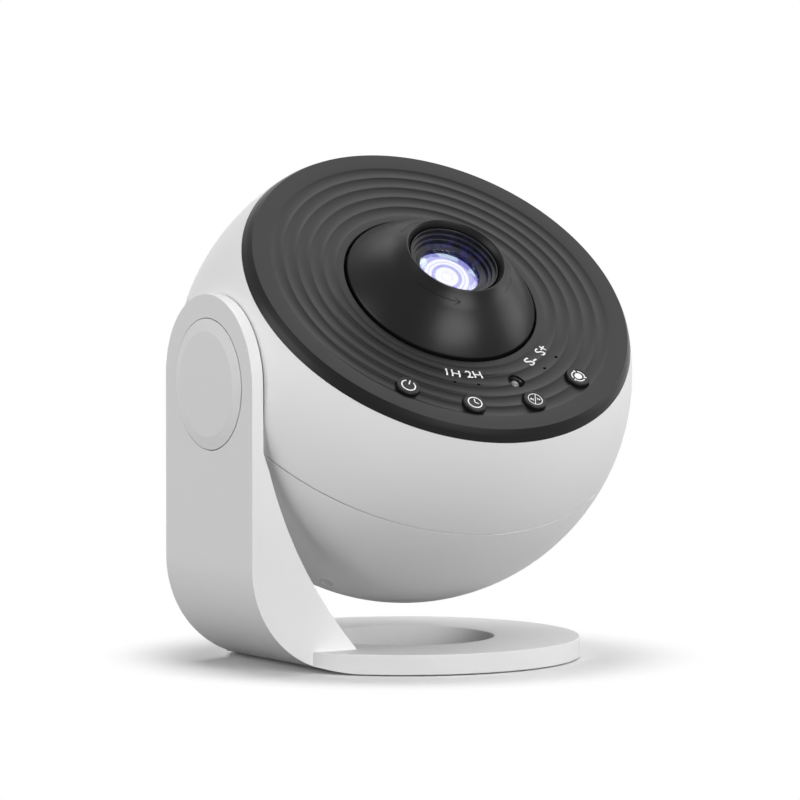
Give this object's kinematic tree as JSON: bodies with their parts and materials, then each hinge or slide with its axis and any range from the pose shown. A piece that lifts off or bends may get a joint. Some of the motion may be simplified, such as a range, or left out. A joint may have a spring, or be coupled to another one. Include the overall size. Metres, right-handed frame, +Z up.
{
  "type": "planetarium projector",
  "caption": "Tabletop planetarium projector: a ball head with a focusing lens cone in its rippled face plate tilts on a side arm above a ring base.",
  "frame": {"origin": "on the floor at the centre of the base ring, below the ball's centre", "axes": "+Z up, +X along the pivot from the arm into the ball, -Y the way the lens leans"},
  "size_m": [0.1295, 0.1289, 0.1414],
  "materials": {
    "white_stand": "fine satin moulding",
    "white_shell": "fine satin moulding",
    "white_cap": "satin moulding",
    "foot_rubber": "dull",
    "plate_black": "satin",
    "cone_black": "satin",
    "button_black": "satin",
    "mount_black": "satin",
    "barrel_black": "dull",
    "frame_black": "dull",
    "lens_glass": "polished",
    "eye_filter": "polished",
    "light_guide": "clear",
    "chip_white": "dull",
    "chip_black": "dull",
    "board_green": "lacquered",
    "lamp_board_white": "lacquered white",
    "lamp_yellow": "clear over yellow",
    "sink_metal": "plain",
    "steel": "plain",
    "motor_metal": "plated",
    "inlet_metal": "plated",
    "axle_plastic": "dull",
    "washer_plastic": "dull",
    "gear_plastic": "dull",
    "disc_film": "printed film on glass",
    "clip_steel": "plain",
    "cable_jacket": "dull"
  },
  "bodies": {
    "stand": {"stand": "white_stand", "foot_pad": "foot_rubber", "arm_cap": "white_cap", "pivot_axle": "axle_plastic", "pivot_screws": "steel", "spring_washer": "steel"},
    "head": {"board_screws": "steel", "button_switches": "chip_black", "condenser_clip": "frame_black", "condenser_lens": "lens_glass", "control_board": "board_green", "face_plate": "plate_black", "frame_screws": "steel", "friction_washer": "washer_plastic", "heat_sink": "sink_metal", "indicator_lamps": "chip_white", "lamp": "lamp_yellow", "lamp_board": "lamp_board_white", "lamp_screws": "steel", "lens_well": "frame_black", "light_pipes": "light_guide", "lower_shell": "white_shell", "motor": "motor_metal", "motor_screws": "steel", "optics_frame": "frame_black", "plate_screws": "steel", "power_board": "board_green", "power_inlet": "inlet_metal", "power_screws": "steel", "remote_eye": "chip_black", "remote_eye_window": "eye_filter", "shell_screws": "steel", "upper_shell": "white_shell", "well_screws": "steel", "wiring": "cable_jacket"},
    "lens_unit": {"lens_mount": "mount_black"},
    "focus_ring": {"focus_cone": "cone_black"},
    "barrel": {"lens_barrel": "barrel_black", "guide_pins": "steel", "front_lens": "lens_glass", "lens_spacer": "barrel_black", "rear_lens": "lens_glass", "lens_retainer": "barrel_black"},
    "film": {"film_carrier": "gear_plastic", "star_disc": "disc_film", "disc_clip": "clip_steel"},
    "pinion": {"drive_pinion": "gear_plastic", "motor_shaft": "steel"},
    "power_button": {"button_power": "button_black"},
    "timer_button": {"button_timer": "button_black"},
    "colour_button": {"button_colour": "button_black"},
    "light_button": {"button_light": "button_black"}
  },
  "joints": [
    {"name": "head_tilt", "type": "hinge", "parent": "stand", "child": "head", "pos_m": [0, 0, 0.0807], "axis": [1, 0, 0], "continuous": true},
    {"name": "lens_unit_pull", "type": "slide", "parent": "head", "child": "lens_unit", "axis": [0, -0.6361, 0.7716], "range_m": [0, 0.03]},
    {"name": "focus_turn", "type": "hinge", "parent": "lens_unit", "child": "focus_ring", "pos_m": [0, 0, 0.0807], "axis": [0, -0.6361, 0.7716], "range_deg": [-60, 60]},
    {"name": "lens_travel", "type": "slide", "parent": "lens_unit", "child": "barrel", "axis": [0, -0.6361, 0.7716], "range_m": [-0.0015, 0.0015]},
    {"name": "film_spin", "type": "hinge", "parent": "head", "child": "film", "pos_m": [0, 0, 0.0807], "axis": [0, -0.6361, 0.7716], "continuous": true},
    {"name": "pinion_spin", "type": "hinge", "parent": "head", "child": "pinion", "pos_m": [0, 0.02099, 0.098], "axis": [0, -0.6361, 0.7716], "continuous": true},
    {"name": "power_press", "type": "slide", "parent": "head", "child": "power_button", "axis": [0, 0.6361, -0.7716], "range_m": [0, 0.0006], "stiffness_N_per_m": 2500},
    {"name": "timer_press", "type": "slide", "parent": "head", "child": "timer_button", "axis": [0, 0.6361, -0.7716], "range_m": [0, 0.0006], "stiffness_N_per_m": 2500},
    {"name": "colour_press", "type": "slide", "parent": "head", "child": "colour_button", "axis": [0, 0.6361, -0.7716], "range_m": [0, 0.0006], "stiffness_N_per_m": 2500},
    {"name": "light_press", "type": "slide", "parent": "head", "child": "light_button", "axis": [0, 0.6361, -0.7716], "range_m": [0, 0.0006], "stiffness_N_per_m": 2500}
  ],
  "couplings": [
    {"joint": "lens_travel", "follows": "focus_turn", "m_per_rad": 0.001432},
    {"joint": "pinion_spin", "follows": "film_spin", "ratio": -4.6667}
  ]
}
